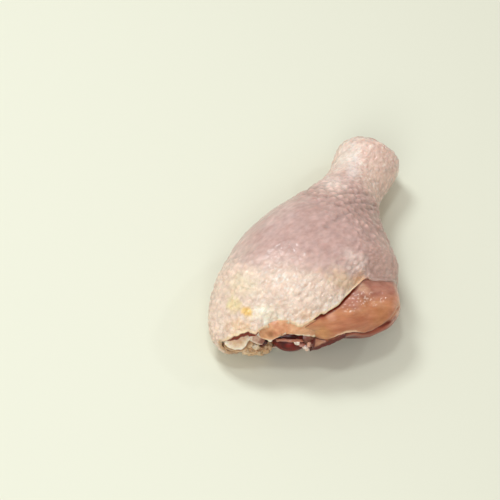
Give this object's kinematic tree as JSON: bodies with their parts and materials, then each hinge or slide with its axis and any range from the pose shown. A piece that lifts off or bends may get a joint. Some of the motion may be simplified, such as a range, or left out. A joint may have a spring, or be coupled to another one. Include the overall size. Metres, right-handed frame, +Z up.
{
  "type": "raw chicken drumstick",
  "caption": "Raw chicken drumstick with its skin on: a tapering leg with a knuckle at the thin end and bare muscle, fat and bone showing at the cut knee end.",
  "frame": {"origin": "under the middle of the whole, at the height that it rests on", "axes": "+Y from the cut knee end to the hock's knuckle, +Z up, +X to the right when looking along +Y"},
  "size_m": [0.0762, 0.1266, 0.043],
  "materials": {
    "skin": "wet raw skin, translucent and pimpled",
    "flesh": "wet raw muscle, glossy",
    "fat": "soft cream fat, satin",
    "bone": "pale wet cartilage"
  },
  "bodies": {
    "root": {"skin": "skin", "flesh": "flesh", "fat": "fat", "bone": "bone"}
  },
  "joints": []
}
